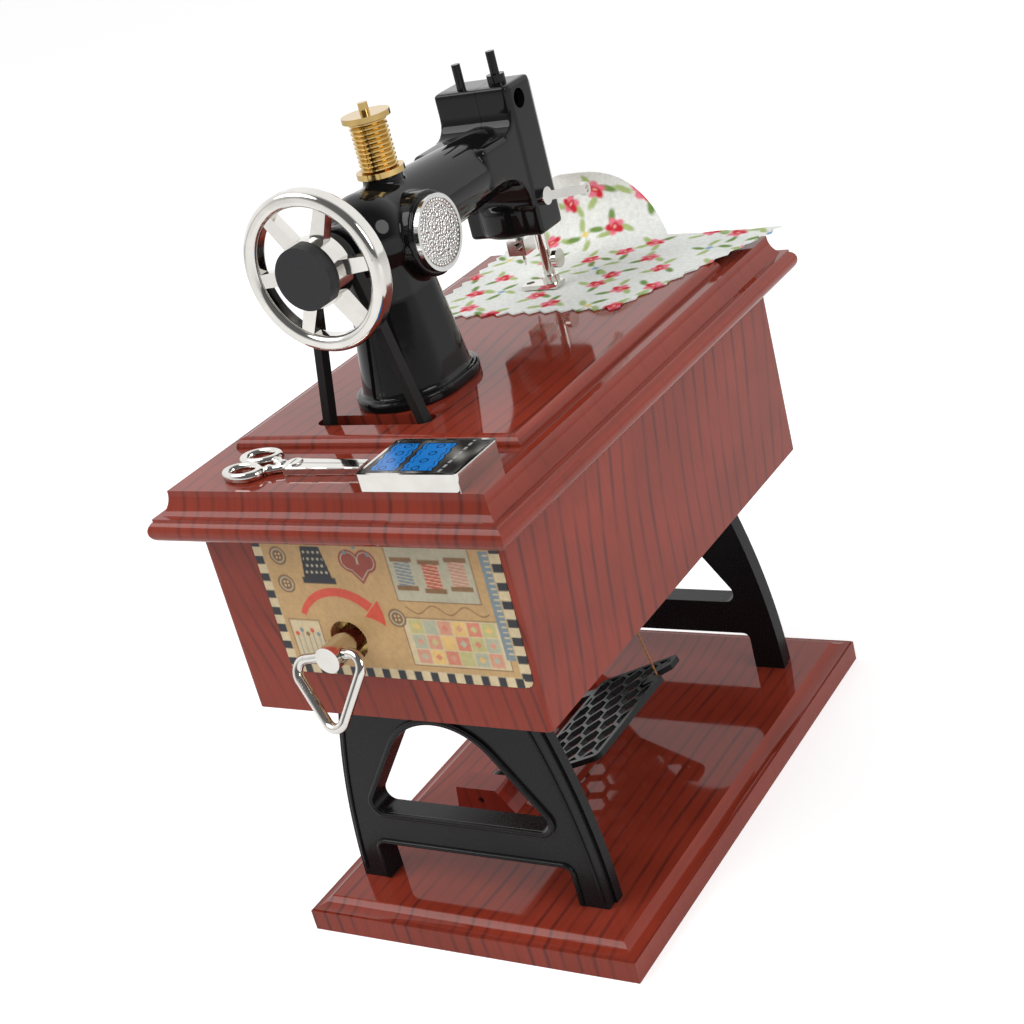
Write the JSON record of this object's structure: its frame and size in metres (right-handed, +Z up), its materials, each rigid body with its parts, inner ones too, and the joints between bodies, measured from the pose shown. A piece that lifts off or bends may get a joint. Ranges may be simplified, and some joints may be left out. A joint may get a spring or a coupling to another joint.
{
  "type": "music box in the shape of a treadle sewing machine",
  "caption": "Wind-up music box shaped as a treadle sewing machine on an arched stand; a side key winds it and a belt turns the handwheel while the treadle rocks.",
  "frame": {"origin": "centre of the underside of the base board", "axes": "+X towards the winding key and the handwheel, +Y towards the side of the machine with the cover disc, +Z up"},
  "size_m": [0.1745, 0.1028, 0.206],
  "materials": {
    "wood_plastic": "gloss, printed dark grain",
    "pivot_plastic": "gloss",
    "leg_black": "satin gloss",
    "pedal_black": "satin",
    "screw_steel": "plain",
    "label_paper": "printed, coated",
    "shaft_steel": "ground",
    "thread_copper": "twisted thread",
    "machine_black": "high gloss",
    "plating": "bright plated plastic",
    "box_plating": "bright plated with a blue print",
    "spool_gold": "gold plated plastic",
    "cap_black": "matte",
    "pulley_black": "satin",
    "belt_rubber": "matte",
    "movement_brass": "plain",
    "key_plating": "bright plated steel",
    "cloth_cotton": "printed cotton"
  },
  "bodies": {
    "stand": {"base_board": "wood_plastic", "leg_key_end": "leg_black", "leg_needle_end": "leg_black", "base_screws": "screw_steel", "leg_screws": "screw_steel", "cabinet": "wood_plastic", "table_top": "wood_plastic", "table_screws": "screw_steel", "end_label": "label_paper", "pivot_blocks": "pivot_plastic", "pedal_pin": "shaft_steel", "pull_thread": "thread_copper", "machine_front_half": "machine_black", "machine_back_half": "machine_black", "machine_screws": "screw_steel", "foot_screws": "screw_steel", "face_plate": "plating", "thin_peg": "machine_black", "collar_peg": "machine_black", "spool": "spool_gold", "spool_pin": "spool_gold", "cover_disc": "plating", "presser_bar": "plating", "presser_foot": "plating", "presser_knob": "plating", "presser_lever": "plating", "shaft_bushes": "movement_brass", "drive_belt": "belt_rubber", "shaft_bracket": "shaft_steel", "front_plate": "movement_brass", "rear_plate": "movement_brass", "plate_pillars": "movement_brass", "movement_screws": "screw_steel", "music_comb": "shaft_steel", "comb_block": "movement_brass", "comb_screws": "screw_steel", "scissors": "plating", "pattern_box": "box_plating", "cloth": "cloth_cotton"},
    "handwheel": {"handwheel": "plating", "hub_cap": "cap_black", "small_pulley": "pulley_black", "upper_shaft": "shaft_steel", "crank_disc": "shaft_steel"},
    "drive_shaft": {"drive_shaft": "shaft_steel", "drive_pinion": "movement_brass", "large_pulley": "pulley_black", "thread_crank": "shaft_steel"},
    "spring_barrel": {"spring_barrel": "movement_brass", "mainspring": "shaft_steel"},
    "music_cylinder": {"music_cylinder": "movement_brass"},
    "governor": {"governor": "movement_brass"},
    "winding_key": {"spring_arbor": "shaft_steel", "key_stem": "key_plating"},
    "key_ring": {"key_ring": "key_plating"},
    "needle_bar": {"needle_bar": "plating", "needle_clamp": "plating", "clamp_screw": "plating", "needle": "shaft_steel"},
    "pedal": {"pedal": "pedal_black"}
  },
  "joints": [
    {"name": "handwheel_turn", "type": "hinge", "parent": "stand", "child": "handwheel", "pos_m": [0.0502, -0.0049, 0.1765], "axis": [1, 0, 0], "continuous": true},
    {"name": "drive_shaft_turn", "type": "hinge", "parent": "stand", "child": "drive_shaft", "pos_m": [0.0449, -0.0049, 0.10859], "axis": [1, 0, 0], "continuous": true},
    {"name": "spring_barrel_turn", "type": "hinge", "parent": "stand", "child": "spring_barrel", "pos_m": [0.0513, -0.0072, 0.0926], "axis": [1, 0, 0], "continuous": true},
    {"name": "music_cylinder_turn", "type": "hinge", "parent": "stand", "child": "music_cylinder", "pos_m": [0.0513, 0.01295, 0.0926], "axis": [1, 0, 0], "continuous": true},
    {"name": "governor_turn", "type": "hinge", "parent": "stand", "child": "governor", "pos_m": [0.0513, 0.01295, 0.10475], "axis": [1, 0, 0], "continuous": true},
    {"name": "key_turn", "type": "hinge", "parent": "stand", "child": "winding_key", "pos_m": [0.0748, -0.0072, 0.0926], "axis": [1, 0, 0], "continuous": true},
    {"name": "key_ring_swing", "type": "hinge", "parent": "winding_key", "child": "key_ring", "pos_m": [0.0819, -0.0072, 0.0926], "axis": [0, -0.9848, -0.1736], "range_deg": [-37, 167]},
    {"name": "needle_bar_slide", "type": "slide", "parent": "stand", "child": "needle_bar", "axis": [0, 0, 1], "range_m": [-0.004, 0.001]},
    {"name": "pedal_rock", "type": "hinge", "parent": "stand", "child": "pedal", "pos_m": [-0.002, -0.0215, 0.0116], "axis": [1, 0, 0], "range_deg": [-7, 7], "stiffness_Nm_per_rad": 0.02, "deforming": ["pull_thread"]}
  ],
  "couplings": [
    {"joint": "drive_shaft_turn", "follows": "handwheel_turn", "ratio": 0.25},
    {"joint": "spring_barrel_turn", "follows": "handwheel_turn", "ratio": -0.083333},
    {"joint": "music_cylinder_turn", "follows": "handwheel_turn", "ratio": 0.125},
    {"joint": "governor_turn", "follows": "handwheel_turn", "ratio": -0.625}
  ]
}
